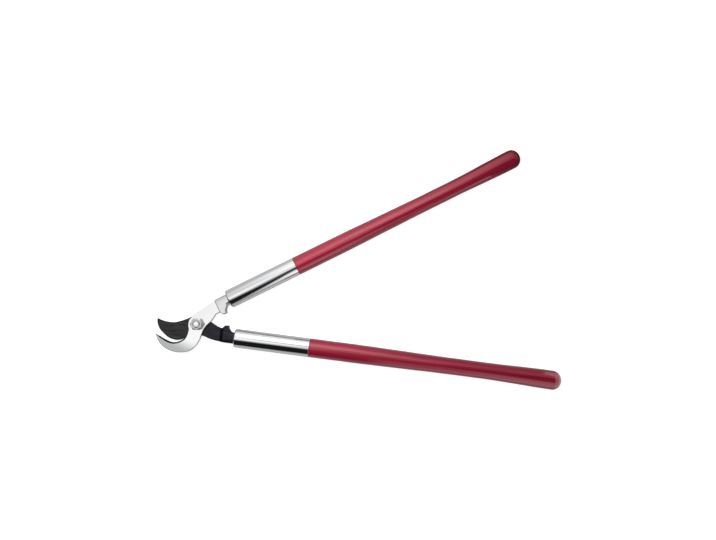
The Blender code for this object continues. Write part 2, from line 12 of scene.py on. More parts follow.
import bmesh
import bpy
import numpy as np
from mathutils import Matrix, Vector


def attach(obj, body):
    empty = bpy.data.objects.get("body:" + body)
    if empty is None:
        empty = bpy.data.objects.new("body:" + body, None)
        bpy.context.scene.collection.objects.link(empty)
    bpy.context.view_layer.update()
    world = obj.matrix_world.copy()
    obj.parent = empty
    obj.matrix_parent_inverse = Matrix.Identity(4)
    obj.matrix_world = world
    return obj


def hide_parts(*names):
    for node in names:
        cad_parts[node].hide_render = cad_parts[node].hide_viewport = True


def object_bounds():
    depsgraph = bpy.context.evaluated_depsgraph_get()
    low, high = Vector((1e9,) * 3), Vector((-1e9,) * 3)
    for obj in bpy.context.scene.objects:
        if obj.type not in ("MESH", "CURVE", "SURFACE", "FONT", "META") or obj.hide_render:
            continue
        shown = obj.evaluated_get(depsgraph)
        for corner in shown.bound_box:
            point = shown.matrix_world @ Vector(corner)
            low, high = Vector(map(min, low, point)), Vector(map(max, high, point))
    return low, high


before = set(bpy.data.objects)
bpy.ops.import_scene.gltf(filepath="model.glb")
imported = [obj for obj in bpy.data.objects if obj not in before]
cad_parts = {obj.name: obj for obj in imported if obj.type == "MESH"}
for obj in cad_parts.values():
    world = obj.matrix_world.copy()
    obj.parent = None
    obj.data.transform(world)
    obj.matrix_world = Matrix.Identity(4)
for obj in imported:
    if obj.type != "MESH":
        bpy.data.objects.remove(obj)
cad_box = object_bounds()

MM = 0.001

# The camera, which looks down on the lopper
CAMERA_PLACE = (0.2770, 0.00665, 1.2681)
CAMERA_TILT = math.radians(4.0)
CAMERA_LENS = 36.2
SENSOR_WIDTH = 36.0

# The halves
REST_SPREAD = math.radians(33.77)
HOOK_TURN = math.radians(26.36)
BLADE_TURN = HOOK_TURN - REST_SPREAD
AXIS_OFFSET = 15.4 * MM
SEAT_GAP = 0.3 * MM
LAP_Z = 14.75 * MM

# Ferrules
FERRULE_START = 65.6 * MM
FERRULE_LENGTH = 130.5 * MM
FERRULE_RADIUS = 16.25 * MM
FERRULE_WALL = 1.2 * MM
LIP_RADIUS = 3.0 * MM
FERRULE_EDGE = 0.35 * MM

# Wooden handles
HANDLE_LENGTH = 438.2 * MM
FULL_LENGTH = 55.0 * MM
WAIST_LENGTH = 30.0 * MM
SWELL_LENGTH = 120.0 * MM
DOME_LENGTH = 15.0 * MM
WAIST_RADIUS = 14.3 * MM
SWELL_RADIUS = 16.45 * MM
SWEEP_LENGTH = 183.0 * MM
SWEEP = 1.4 * MM
SHOULDER_EDGE = 0.5 * MM
SWELL_START = HANDLE_LENGTH - DOME_LENGTH - SWELL_LENGTH
WAIST_START = SWELL_START - WAIST_LENGTH
SWEEP_START = HANDLE_LENGTH - SWEEP_LENGTH
WOOD_START = LIP_RADIUS + SEAT_GAP
SPIGOT_RADIUS = FERRULE_RADIUS - FERRULE_WALL - SEAT_GAP

# The two waves that turning left in the grip: how high they are, and where they fade in and out, in shares
# of its length. Each wave has its radians along the grip, its turns round it and its count of phases.
WAVE_HEIGHT = 0.04 * MM
WAVE_FADE_IN = (0.0, 0.1)
WAVE_FADE_OUT = (0.8, 0.96)
WAVES = ((31, 2, 1), (53, -3, 2))
WAVE_PHASES = {"upper": 0.4, "lower": 2.1}

# Tang bore in the wood
TANG_LENGTH = 100.0 * MM
TANG_HALF_WIDTH = 6.5 * MM
TANG_HALF_THICKNESS = 4.8 * MM
TANG_TIP_SHARE = 0.45
TANG_SQUARENESS = 9
BORE_END = LIP_RADIUS + TANG_LENGTH + SEAT_GAP

# Drive pins
PIN_RADIUS = 2.0 * MM
PIN_AT = 32.0 * MM
PIN_PAST_TANG = 3.0 * MM
PIN_DOME = 0.6 * MM
PIN_DOME_POWER = 0.8
PIN_CLEARANCE = 0.15 * MM

# Bolt, nut and washer
BOLT_RADIUS = 6.35 * MM
BOLT_CHAMFER = 1.4 * MM
BOLT_TOP_Z = 34.4 * MM
THREAD_START_Z = 16.0 * MM
THREAD_PITCH = 1.27 * MM
THREAD_DEPTH = 0.7 * MM
THREAD_STEEPNESS = 1.3
THREAD_CUT = 0.15
THREAD_CLEARANCE = 0.12 * MM
HEX_FLATS = 19.0 * MM
HEX_ROUNDNESS = 60
HEX_CIRCLE = HEX_FLATS / 2 - 0.45 * MM
HEX_CHAMFER_SLOPE = math.tan(math.radians(30))
HEAD_HEIGHT = 6.5 * MM
NUT_Z = 22.2 * MM
NUT_HEIGHT = 11.0 * MM
COUNTERSINK = 0.7 * MM
WASHER_RADIUS = 13.0 * MM
WASHER_THICKNESS = 1.5 * MM
WASHER_EDGE = 0.2 * MM
WASHER_Z = HEAD_HEIGHT + SEAT_GAP
BOLT_HOLE_RADIUS = BOLT_RADIUS + SEAT_GAP

# Directions in a half frame
ALONG = (1.0, 0.0, 0.0)
UP = (0.0, 0.0, 1.0)

# Places on the forgings: the line and the hollow of the neck's shoulder, both painted shade, the darker
# neck past it, the painted shade by which the hook grows darker towards its tip, and the stretch over which
# the black turns bluer
SHOULDER_AT = 43.9 * MM
SHOULDER_LINE = 0.7 * MM
SHOULDER_LINE_SOFT = 0.6 * MM
SHOULDER_HOLLOW = 2.2 * MM
SHOULDER_HOLLOW_SOFT = 2.4 * MM
NECK_START = 43.0 * MM
NECK_END = 44.5 * MM
CRESCENT_TURN = math.radians(220)
CRESCENT_WAY = (math.cos(CRESCENT_TURN), math.sin(CRESCENT_TURN), 0.0)
CRESCENT_START = 28.0 * MM
CRESCENT_END = 54.0 * MM
BLUE_START = 8.0 * MM
BLUE_END = 24.0 * MM

# The painted highlight on the bolt's end
BOLT_HIGHLIGHT_OFFSET = -0.9 * MM
BOLT_HIGHLIGHT_RADIUS = 2.9 * MM
BOLT_HIGHLIGHT_EDGE = 3.8 * MM
BOLT_HIGHLIGHT_LOW_Z = BOLT_TOP_Z - 0.3 * MM
BOLT_HIGHLIGHT_HIGH_Z = BOLT_TOP_Z - 0.1 * MM

# The ground wall along the hook's inner edge, which gets painted shade, by the upward part of its normal
JAW_START = 11.0 * MM
WALL_LOW = 0.2
WALL_HIGH = 0.85

# Fineness, softened edges and shading
HANDLE_SIDES = 96
HANDLE_RINGS = 170
DOME_RINGS = 20
FERRULE_SIDES = 128
SMALL_SIDES = 120
THREAD_ROWS_A_TURN = 8
PIN_SIDES = 40
PIN_DOME_RINGS = 7
CHAMFER_RINGS = 8
MERGE_DISTANCE = 0.01 * MM
FLAT_ANGLE = math.radians(0.5)
FORGING_BEVEL = 0.3 * MM
BEVEL_ANGLE = math.radians(35)
SMOOTH_ANGLE = math.radians(38)

# Light: how bright the world is to look at and as light, and the lamp
WHITE = 1.0
AMBIENT = 0.46
LAMP_PLACE = (0.0, 0.25, 0.6)
LAMP_AIM = (0.15, 0.0, 0.0)
LAMP_WIDTH = 0.6
LAMP_DEPTH = 0.5
LAMP_POWER = 8.2

# The floor's colour for light, for shiny surfaces and, added to that, for the camera, and its glow. Shiny
# surfaces see only a share of both towards its far corner, a painted shade past the upper handle's end.
FLOOR_SPAN = (-3.0, 3.0)
FLOOR_GAP = 0.05 * MM
FLOOR_FOR_LIGHT = 0.80
FLOOR_FOR_SHINE = 0.17
FLOOR_CAMERA_MORE = 0.13
FLOOR_SHINE_GLOW = 0.18
FLOOR_CAMERA_GLOW = 0.86
FLOOR_FALL_WAY = (0.7, 0.7, 0.0)
FLOOR_FALL_START = 0.45
FLOOR_FALL_END = 0.62
FLOOR_FAR_SHARE = 0.1

# The tent, and how bright it is overhead, near the floor and on the dark cloth
TENT_MIDDLE = (0.2, 0.0, 0.0)
TENT_RADIUS = 1.2
TENT_SIDES = 240
TENT_RINGS = 61
TENT_HIGH = 1.05
TENT_LOW = 0.6
TENT_DARK = 0.01

# What share of its brightness the tent loses on the grey cloth, the seam, the left and the back's right
GREY_LOSS = 0.35
SEAM_LOSS = 0.75
LEFT_LOSS = 0.5
BACK_RIGHT_LOSS = 0.65

# The tent's soft edges, each from its start to its end. Bearings, tilts forward from overhead and heights
# above the floor are in degrees, and places across and away are shares of the tent's radius.
WHITE_HEIGHTS = (0.0, 39.0)
GREY_RIGHT_BEARINGS = (-44.0, -28.0)
GREY_TOP_HEIGHTS = (55.0, 80.0)
SEAM_NEAR_TILTS = (6.5, 10.5)
SEAM_FAR_TILTS = (13.0, 17.0)
SEAM_LEFT_END = (-0.24, -0.16)
LEFT_FALL = (0.6, 0.95)
BACK_EDGE = (-0.2, 0.2)
BACK_RIGHT_FALL = (0.0, 0.5)
TOP_BACK_EDGE = (0.0, 0.4)
TOP_FRONT_EDGE = (-0.5, -0.3)
TOP_RIGHT_FALL = (0.36, 0.54)
FRONT_RIGHT_FALL = (0.5, 0.8)

# The dark cloth: its top, its slanted free edge, its hem, which drops on the left, and its tail
CLOTH_TOP_TILTS = (1.0, 30.0)
FREE_EDGE_BEARING = 15.0
FREE_EDGE_HEIGHT = 10.0
FREE_EDGE_SLOPE = 5.5
FREE_EDGE_SOFT = (-25.0, 25.0)
HEM_DROP = 7.0
HEM_BEARINGS = (-20.0, 5.0)
HEM_SOFT = (-2.0, 14.0)
TAIL_LEAN = 18.0
TAIL_LEAN_SPAN = (0.25, 0.5)
TAIL_BACK_TILTS = (-10.0, 12.0)
TAIL_FRONT_START = 19.0
TAIL_FRONT_END = 60.0
TAIL_LEFT_END = (-0.25, 0.13)

# The panel overhead, and where it fades
PANEL_HEIGHT = 0.55
PANEL_X_SPAN = (-0.1, 0.8)
PANEL_Y_SPAN = (0.0, 1.0)
PANEL_STEPS = 49
PANEL_GLOW = 0.8
PANEL_NEAR_FADE = (0.06, 0.36)
PANEL_FAR_FADE = (0.5, 0.95)
PANEL_LEFT_FADE = (-0.03, 0.12)
PANEL_RIGHT_FADE = (0.38, 0.62)
PANEL_SLANT = 0.4
PANEL_SLANT_Y = 0.35

# The white card past the lower handle's end, and the grey card in front of that handle
CARD_X = 0.66
CARD_SPAN = (-0.22, 0.07)
CARD_HEIGHT = 0.11
CARD_GLOW = 1.05
LOW_CARD_Y = -0.2
LOW_CARD_SPAN = (0.27, 0.68)
LOW_CARD_HEIGHT = 0.24
LOW_CARD_STEPS = 33
LOW_CARD_GLOW = 0.5
LOW_CARD_DROP = 0.55
LOW_CARD_DROP_SPAN = (0.38, 0.5)
LOW_CARD_TOP_FADE = 0.08
LOW_CARD_LEFT_FADE = 0.07


def half_matrix(turn, turned_over):
    """Where a half frame lies in the lopper's frame."""
    lift = Matrix.Translation((0.0, 0.0, LAP_Z))
    over = Matrix.Rotation(math.pi if turned_over else 0.0, 4, "X")
    return np.array(lift @ Matrix.Rotation(turn, 4, "Z") @ over)


WHOLE = np.eye(4)
HOOK_HALF = half_matrix(HOOK_TURN, False)
BLADE_HALF = half_matrix(BLADE_TURN, True)


# Meshes


def coordinates(mesh):
    """The mesh's points as an array."""
    flat = np.zeros(len(mesh.vertices) * 3, np.float32)
    mesh.vertices.foreach_get("co", flat)
    return flat.reshape(-1, 3).astype(float)


def note_half_place(mesh, half):
    """Keep each point's place in its half frame as an attribute, so that grain and grinding follow it.

    The place is the inverse of the half's turn applied to the point less the half's origin.
    """
    own = (coordinates(mesh) - half[:3, 3]) @ half[:3, :3]
    attribute = mesh.attributes.new("half_place", "FLOAT_VECTOR", "POINT")
    attribute.data.foreach_set("vector", own.astype(np.float32).ravel())


def note_face_mask(mesh, name, mask):
    """Keep a number for each face as an attribute."""
    attribute = mesh.attributes.new(name, "FLOAT", "FACE")
    attribute.data.foreach_set("value", mask.astype(np.float32))


def note_walls(mesh, half):
    """Mark side walls, whose normals lie across Z, and the ground wall along the hook's inner edge, which
    both get painted shade.

    The ground wall leans between WALL_LOW and WALL_HIGH, faces outward in the half frame, and lies on
    the jaws' side of the pivot.
    """
    count = len(mesh.polygons)
    normal, middle = np.zeros(count * 3, np.float32), np.zeros(count * 3, np.float32)
    mesh.polygons.foreach_get("normal", normal)
    mesh.polygons.foreach_get("center", middle)
    normal = normal.reshape(-1, 3) @ half[:3, :3]
    middle = (middle.reshape(-1, 3) - half[:3, 3]) @ half[:3, :3]
    wall = (normal[:, 2] > WALL_LOW) & (normal[:, 2] < WALL_HIGH)
    wall &= (normal[:, 1] > -WALL_LOW) & (middle[:, 0] < -JAW_START)
    note_face_mask(mesh, "inner_wall", wall)
    note_face_mask(mesh, "side_wall", np.abs(normal[:, 2]) < WALL_LOW)


def linked(name, data):
    """An object of the scene with this mesh, light or camera."""
    obj = bpy.data.objects.new(name, data)
    bpy.context.scene.collection.objects.link(obj)
    return obj


def ring_faces(count, sides, looped):
    """Faces from each ring of points to the next and, if looped, from the last ring to the first."""
    here = np.arange(count if looped else count - 1)[:, None] * sides
    ahead = (here + sides) % (count * sides)
    side = np.arange(sides)[None, :]
    beside = (side + 1) % sides
    quads = np.stack([here + side, here + beside, ahead + beside, ahead + side], axis=-1)
    return quads.reshape(-1, 4).tolist()


def fan_faces(tip, start, sides, turned_over=False):
    """Faces from a tip to each side of the ring whose first point is at the start."""
    side = np.arange(sides)
    beside = (side + 1) % sides
    if turned_over:
        side, beside = beside, side
    return np.stack([np.full(sides, tip), start + side, start + beside], axis=-1).tolist()


def skin(name, rings, half, start=None, end=None):
    """A closed surface through rings of points.

    rings[i, j] is point j round ring i, in the half frame. Each point joins the next one round its ring
    and the same one on the next ring. A start and an end point close the two ends with fans. Without
    them the last ring joins the first.
    """
    count, sides = rings.shape[:2]
    looped = start is None
    faces = ring_faces(count, sides, looped)
    points = rings.reshape(-1, 3)
    if not looped:
        faces += fan_faces(count * sides, 0, sides, turned_over=True)
        faces += fan_faces(count * sides + 1, (count - 1) * sides, sides)
        points = np.vstack([points, start, end])
    placed = points @ half[:3, :3].T + half[:3, 3]
    mesh = bpy.data.meshes.new(name)
    mesh.from_pydata(placed.tolist(), [], faces)
    return linked(name, mesh)


def apply_modifiers(obj):
    """Turn an object's modifiers into its mesh."""
    bpy.context.view_layer.update()
    depsgraph = bpy.context.evaluated_depsgraph_get()
    mesh = bpy.data.meshes.new_from_object(obj.evaluated_get(depsgraph))
    obj.modifiers.clear()
    obj.data = mesh


def soften(obj):
    """Round the sharp edges over with a narrow bevel."""
    bevel = obj.modifiers.new("soften", "BEVEL")
    bevel.limit_method = "ANGLE"
    bevel.angle_limit = BEVEL_ANGLE
    bevel.width = FORGING_BEVEL
    bevel.segments = 2
    apply_modifiers(obj)


def shade(obj):
    """Smooth shading that stops at sharp edges and leaves the larger faces flat."""
    obj.data.shade_smooth()
    obj.data.set_sharp_from_angle(angle=SMOOTH_ANGLE)
    weighted = obj.modifiers.new("weighted", "WEIGHTED_NORMAL")
    weighted.keep_sharp = True
    apply_modifiers(obj)


def cut(obj, tool):
    """Take the tool's shape out of a piece."""
    boolean = obj.modifiers.new("cut", "BOOLEAN")
    boolean.operation = "DIFFERENCE"
    boolean.solver = "EXACT"
    boolean.object = tool
    apply_modifiers(obj)


def dress(obj, half, body, material, cad_node):
    """Give a finished piece its material and its body, and hide the CAD node that it stands for."""
    shade(obj)
    note_half_place(obj.data, half)
    note_walls(obj.data, half)
    obj.data.materials.clear()
    obj.data.materials.append(material)
    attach(obj, body)
    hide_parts(cad_node)


# Turned and lofted forms


def points_at(x, y, z):
    """Points from their three coordinates, each an array or one number for all."""
    return np.stack(np.broadcast_arrays(x, y, z), axis=-1)


def angles(sides):
    """Equal steps of a full turn."""
    return np.arange(sides) * (2 * math.pi / sides)


def ring(radius, height, angle):
    """Points round an axis: radius times the cosine and sine of the angle, at a height along it.

    Columns of radii and heights give one ring for each row.
    """
    return points_at(radius * np.cos(angle), radius * np.sin(angle), height)


def turned(profile, sides):
    """Rings of a turned piece, one for each (radius, height) row of its profile."""
    radius, height = np.hsplit(np.array(profile), 2)
    return ring(radius, height, angles(sides))


def superellipse(half_width, half_thickness, height, angle):
    """A rounded square: each of cosine and sine keeps its sign and is raised to 2 over the squareness."""
    power = 2 / TANG_SQUARENESS
    across = np.sign(np.cos(angle)) * np.abs(np.cos(angle)) ** power
    up = np.sign(np.sin(angle)) * np.abs(np.sin(angle)) ** power
    return points_at(half_width * across, half_thickness * up, height)


def arc(radius, height, size, start_degrees, end_degrees, steps):
    """Profile rows on part of a circle about (radius, height)."""
    turn = np.radians(np.linspace(start_degrees, end_degrees, steps))
    return np.stack([radius + size * np.cos(turn), height + size * np.sin(turn)], axis=1)


def on_handle(points):
    """Lay a piece drawn about its own axis along the handle's axis, its zero at the ferrule's mouth."""
    across, up, along = np.moveaxis(points, -1, 0)
    return points_at(FERRULE_START + along, AXIS_OFFSET + across, up)


def ease(value, start, end):
    """A smooth rise from 0 at the start to 1 at the end, half a cosine wave."""
    share = np.clip((value - start) / (end - start), 0.0, 1.0)
    return (1 - np.cos(math.pi * share)) / 2


# Handles


def handle_radius(distance):
    """Full at the ferrule, eased down to the waist and eased up to the swell."""
    taper = (FERRULE_RADIUS - WAIST_RADIUS) * ease(distance, FULL_LENGTH, WAIST_START)
    swell = (SWELL_RADIUS - WAIST_RADIUS) * ease(distance, SWELL_START, HANDLE_LENGTH - DOME_LENGTH)
    return FERRULE_RADIUS - taper + swell


def swept(points):
    """The last part of the handle leans out by the square of the way along it."""
    past = points[..., 2] - FERRULE_LENGTH - SWEEP_START
    leaned = points.copy()
    leaned[..., 0] += SWEEP * np.clip(past / SWEEP_LENGTH, 0.0, None) ** 2
    return leaned


def grip_rings(angle, phase):
    """The outside of the wood: the handle's radius plus two slow, shallow waves left by turning.

    Each wave is a sine of the share of the length and of the angle, and both fade out at the two ends.
    """
    distance = np.linspace(SEAT_GAP + SHOULDER_EDGE, HANDLE_LENGTH - DOME_LENGTH, HANDLE_RINGS)[:, None]
    along = distance / HANDLE_LENGTH
    fade = ease(along, *WAVE_FADE_IN) * (1 - ease(along, *WAVE_FADE_OUT))
    waves = [np.sin(far * along + turns * angle + late * phase) for far, turns, late in WAVES]
    radius = handle_radius(distance) + WAVE_HEIGHT * fade * sum(waves)
    return ring(radius, FERRULE_LENGTH + distance, angle)


def tang_bore_rings(angle):
    """The bore from its deep end to its mouth: a rounded square that widens towards the mouth."""
    height = np.array([[BORE_END], [WOOD_START]])
    share = np.array([[TANG_TIP_SHARE], [1.0]])
    half_width = TANG_HALF_WIDTH * share + SEAT_GAP
    half_thickness = TANG_HALF_THICKNESS * share + SEAT_GAP
    return superellipse(half_width, half_thickness, height, angle)


def make_handle(name, half, body, cad_node, phase, pin_hole, material):
    """One skin: up the tang bore, round the spigot, along the grip and over the domed end.

    The dome is a quarter ellipse from the swell's radius down to nothing.
    """
    angle = angles(HANDLE_SIDES)
    shoulder = FERRULE_LENGTH + SEAT_GAP
    chamfer = LIP_RADIUS / 2
    spigot = [
        (SPIGOT_RADIUS - chamfer, WOOD_START),
        (SPIGOT_RADIUS, WOOD_START + chamfer),
        (SPIGOT_RADIUS, shoulder),
    ]
    edge = arc(FERRULE_RADIUS - SHOULDER_EDGE, shoulder + SHOULDER_EDGE, SHOULDER_EDGE, -90, -20, 4)
    turn = np.radians(np.linspace(0, 90, DOME_RINGS))[1:-1]
    dome_radius = handle_radius(HANDLE_LENGTH - DOME_LENGTH) * np.cos(turn)
    end = FERRULE_LENGTH + HANDLE_LENGTH
    dome = np.stack([dome_radius, end - DOME_LENGTH + DOME_LENGTH * np.sin(turn)], axis=1)
    rings = np.concatenate([
        tang_bore_rings(angle),
        turned(spigot, HANDLE_SIDES),
        turned(edge, HANDLE_SIDES),
        grip_rings(angle, phase),
        turned(dome, HANDLE_SIDES),
    ])
    deep, tip = np.array([0.0, 0.0, BORE_END]), np.array([0.0, 0.0, end])
    obj = skin(name, on_handle(swept(rings)), half, on_handle(deep), on_handle(swept(tip)))
    cut(obj, pin_hole)
    dress(obj, half, body, material, cad_node)


# Ferrules and pins


def make_ferrule(name, half, body, cad_node, pin_hole, material):
    """A drawn tube whose mouth is rolled in round the neck.

    The profile runs from the mouth's lip along the outside to the wood, round the softened end and back
    inside, and every corner is an arc.
    """
    rim = FERRULE_RADIUS - LIP_RADIUS
    inner = FERRULE_RADIUS - FERRULE_WALL
    lip = FERRULE_WALL / 2
    far = FERRULE_LENGTH
    profile = np.concatenate([
        arc(rim, lip, lip, 180, 270, 6),
        arc(rim, LIP_RADIUS, LIP_RADIUS, -90, 0, 18)[1:],
        arc(FERRULE_RADIUS - FERRULE_EDGE, far - FERRULE_EDGE, FERRULE_EDGE, 0, 90, 5),
        arc(inner + FERRULE_EDGE, far - FERRULE_EDGE, FERRULE_EDGE, 90, 180, 5),
        arc(rim, LIP_RADIUS, LIP_RADIUS - FERRULE_WALL, 0, -90, 10),
        arc(rim, lip, lip, 90, 180, 6)[1:-1],
    ])
    obj = skin(name, on_handle(turned(profile, FERRULE_SIDES)), half)
    cut(obj, pin_hole)
    dress(obj, half, body, material, cad_node)


def pin_span(side):
    """Heights of a pin's head, flush in the ferrule's back, and of its end past the tang."""
    tang_share = 1 + (TANG_TIP_SHARE - 1) * (PIN_AT - LIP_RADIUS) / TANG_LENGTH
    head = side * FERRULE_RADIUS
    tail = -side * (TANG_HALF_THICKNESS * tang_share + PIN_PAST_TANG)
    return head, tail


def across_handle(points, side, tail):
    """Stand a piece that is drawn up Z from its tail across the handle, turned over for the low side."""
    facing = points * np.array([1.0, side, side])
    return facing + np.array([FERRULE_START + PIN_AT, AXIS_OFFSET, tail])


def make_pin_hole(name, half, side):
    """A round cutter a little wider than the pin."""
    head, tail = pin_span(side)
    length = abs(head - tail) + LIP_RADIUS
    radius = PIN_RADIUS + PIN_CLEARANCE
    rings = turned([(radius, -SEAT_GAP), (radius, length)], PIN_SIDES)
    ends = (np.array([0.0, 0.0, -SEAT_GAP]), np.array([0.0, 0.0, length]))
    start, end = (across_handle(point, side, tail) for point in ends)
    obj = skin(name, across_handle(rings, side, tail), half, start, end)
    obj.hide_render = True
    return obj


def make_pin(name, half, body, cad_node, side, material):
    """A drive pin: a chamfered tail, a round body and a domed head that the hammer has flattened.

    Over the head a share runs from 0 to 1. The radius falls by a quarter of a cosine wave, and the height
    rises by a power of the share.
    """
    head, tail = pin_span(side)
    length = abs(head - tail)
    share = np.linspace(0, 1, PIN_DOME_RINGS)[:-1]
    dome_height = length - PIN_DOME * (1 - share ** PIN_DOME_POWER)
    dome = np.stack([PIN_RADIUS * np.cos(math.pi / 2 * share), dome_height], axis=1)
    rings = turned([(PIN_RADIUS - PIN_DOME, 0.0), (PIN_RADIUS, PIN_DOME), *dome], PIN_SIDES)
    start, end = np.zeros(3), np.array([0.0, 0.0, length])
    obj = skin(
        name, across_handle(rings, side, tail), half,
        across_handle(start, side, tail), across_handle(end, side, tail),
    )
    dress(obj, half, body, material, cad_node)


# Bolt, nut and washer


def hexagon_radius(angle):
    """A hexagon with faintly rounded corners, and one of them on +X.

    Each flat gives the cosine of the angle from its middle over its distance. The radius is the
    reciprocal of the high-power mean of those above zero.
    """
    middles = np.radians(30 + 60 * np.arange(6))
    nearness = np.clip(np.cos(angle[:, None] - middles), 0, None) / (HEX_FLATS / 2)
    return (nearness ** HEX_ROUNDNESS).sum(axis=1) ** (-1 / HEX_ROUNDNESS)


def hexagon_end(height, direction, angle):
    """The two rings of a turned-off end: where the cone meets the flats, and the end face's circle.

    The cone drops by its slope times the distance past that circle.
    """
    flat = hexagon_radius(angle)
    drop = (flat - HEX_CIRCLE) * HEX_CHAMFER_SLOPE
    corner = ring(flat, height - direction * drop, angle)
    return corner, ring(HEX_CIRCLE, height, angle)


def thread_radius(angle, height):
    """A screw thread: the height in turns less the angle in turns gives a triangle wave. Its flanks are
    made steeper, and its crests and roots are cut flat.
    """
    phase = height / THREAD_PITCH - angle / (2 * math.pi)
    wave = 2 * np.abs(phase - np.floor(phase) - 0.5)
    return BOLT_RADIUS - THREAD_DEPTH * np.clip(THREAD_STEEPNESS * wave - THREAD_CUT, 0.0, 1.0)


def thread_rings(low, high, angle, offset=0.0):
    """Rings up the thread, each point at the thread's radius for its angle and height."""
    rows = int(round((high - low) / THREAD_PITCH * THREAD_ROWS_A_TURN))
    height = np.linspace(low, high, rows)[:, None]
    return ring(thread_radius(angle, height) + offset, height, angle)


def make_bolt(material):
    """Head, shank, rolled thread and a chamfered end, as one skin from the head's face to the tip."""
    angle = angles(SMALL_SIDES)
    corner, circle = hexagon_end(0.0, -1, angle)
    head = [circle, corner, ring(hexagon_radius(angle), HEAD_HEIGHT, angle)]
    shank = [ring(BOLT_RADIUS, HEAD_HEIGHT, angle), ring(BOLT_RADIUS, THREAD_START_Z, angle)]
    thread = thread_rings(THREAD_START_Z + THREAD_PITCH / 2, BOLT_TOP_Z - BOLT_CHAMFER, angle)
    height = np.linspace(BOLT_TOP_Z - BOLT_CHAMFER, BOLT_TOP_Z, CHAMFER_RINGS)[1:, None]
    cone = BOLT_RADIUS - (height - BOLT_TOP_Z + BOLT_CHAMFER)
    end = ring(np.minimum(thread_radius(angle, height), cone), height, angle)
    rings = np.concatenate([np.stack(head + shank), thread, end])
    obj = skin("bolt", rings, WHOLE, np.zeros(3), np.array([0.0, 0.0, BOLT_TOP_Z]))
    dress(obj, WHOLE, "hook_half", material, "pivot_bolt")


def make_nut(material):
    """A hexagon nut turned off at both ends, countersunk, with a thread that clears the bolt's.

    The skin runs up the outside, over the top face, down the bore and back over the bottom face.
    """
    angle = angles(SMALL_SIDES)
    top = NUT_Z + NUT_HEIGHT
    low_corner, low_circle = hexagon_end(NUT_Z, -1, angle)
    high_corner, high_circle = hexagon_end(top, 1, angle)
    mouth = BOLT_RADIUS + COUNTERSINK / 2
    bore = thread_rings(NUT_Z + COUNTERSINK, top - COUNTERSINK, angle, THREAD_CLEARANCE)[::-1]
    rings = np.concatenate([
        np.stack([low_circle, low_corner, high_corner, high_circle, ring(mouth, top, angle)]),
        bore,
        ring(mouth, NUT_Z, angle)[None],
    ])
    obj = skin("nut", rings, WHOLE)
    dress(obj, WHOLE, "hook_half", material, "pivot_nut")


def make_washer(material):
    """A stamped washer: a flat ring with softened edges."""
    low, high = WASHER_Z, WASHER_Z + WASHER_THICKNESS
    edge = WASHER_EDGE
    outside, inside = WASHER_RADIUS - edge, BOLT_HOLE_RADIUS + edge
    profile = np.concatenate([
        arc(outside, low + edge, edge, -90, 0, 4),
        arc(outside, high - edge, edge, 0, 90, 4),
        arc(inside, high - edge, edge, 90, 180, 4),
        arc(inside, low + edge, edge, 180, 270, 4),
    ])
    obj = skin("washer", turned(profile, SMALL_SIDES), WHOLE)
    dress(obj, WHOLE, "hook_half", material, "pivot_washer")


# Forgings


def make_forging(name, half, body, cad_node, material):
    """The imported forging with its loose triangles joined, its flats made whole and its edges softened."""
    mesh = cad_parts[cad_node].data.copy()
    bm = bmesh.new()
    bm.from_mesh(mesh)
    bmesh.ops.remove_doubles(bm, verts=bm.verts, dist=MERGE_DISTANCE)
    bmesh.ops.dissolve_limit(bm, angle_limit=FLAT_ANGLE, verts=bm.verts, edges=bm.edges)
    bm.to_mesh(mesh)
    bm.free()
    obj = linked(name, mesh)
    soften(obj)
    dress(obj, half, body, material, cad_node)


# Nodes for materials


def new_material(name):
    """A material with its node tree and its Principled shader."""
    material = bpy.data.materials.new(name)
    material.use_nodes = True
    tree = material.node_tree
    return material, tree, tree.nodes["Principled BSDF"]


def bare_material(name):
    """A material with an empty node tree."""
    material = bpy.data.materials.new(name)
    material.use_nodes = True
    material.node_tree.nodes.clear()
    return material, material.node_tree


def finish_surface(tree, *shaders):
    """The shaders, added up, as the material's surface."""
    surface = shaders[0].outputs[0]
    for shader in shaders[1:]:
        both = node(tree, "ShaderNodeAddShader")
        tree.links.new(surface, both.inputs[0])
        tree.links.new(shader.outputs[0], both.inputs[1])
        surface = both.outputs[0]
    output = node(tree, "ShaderNodeOutputMaterial")
    tree.links.new(surface, output.inputs["Surface"])


def node(tree, kind, **settings):
    """A new node with its properties set."""
    made = tree.nodes.new(kind)
    for key, value in settings.items():
        setattr(made, key, value)
    return made


def half_place(tree):
    """The place in the half frame, which every pattern reads."""
    attribute = node(tree, "ShaderNodeAttribute", attribute_name="half_place")
    return attribute.outputs["Vector"]


def blend(tree, factor, low, high):
    """A colour between two, by a mask."""
    mix = node(tree, "ShaderNodeMix", data_type="RGBA")
    mix.inputs["A"].default_value = (*low, 1.0)
    mix.inputs["B"].default_value = (*high, 1.0)
    tree.links.new(factor, mix.inputs["Factor"])
    return mix.outputs["Result"]


def spread(tree, factor, low, high):
    """A number between two, by a mask."""
    mapped = node(tree, "ShaderNodeMapRange")
    mapped.inputs["To Min"].default_value = low
    mapped.inputs["To Max"].default_value = high
    tree.links.new(factor, mapped.inputs["Value"])
    return mapped.outputs["Result"]


def rise(tree, value, start, end, shape="SMOOTHSTEP"):
    """A mask that rises, smoothly unless told otherwise, from 0 at its start to 1 at its end."""
    mapped = node(tree, "ShaderNodeMapRange", interpolation_type=shape)
    mapped.inputs["From Min"].default_value = start
    mapped.inputs["From Max"].default_value = end
    tree.links.new(value, mapped.inputs["Value"])
    return mapped.outputs["Result"]


def rise_along(tree, place, direction, start, end):
    """A mask that rises from 0 to 1 between two distances along a direction."""
    distance = node(tree, "ShaderNodeVectorMath", operation="DOT_PRODUCT")
    distance.inputs[1].default_value = direction
    tree.links.new(place, distance.inputs[0])
    return rise(tree, distance.outputs["Value"], start, end)


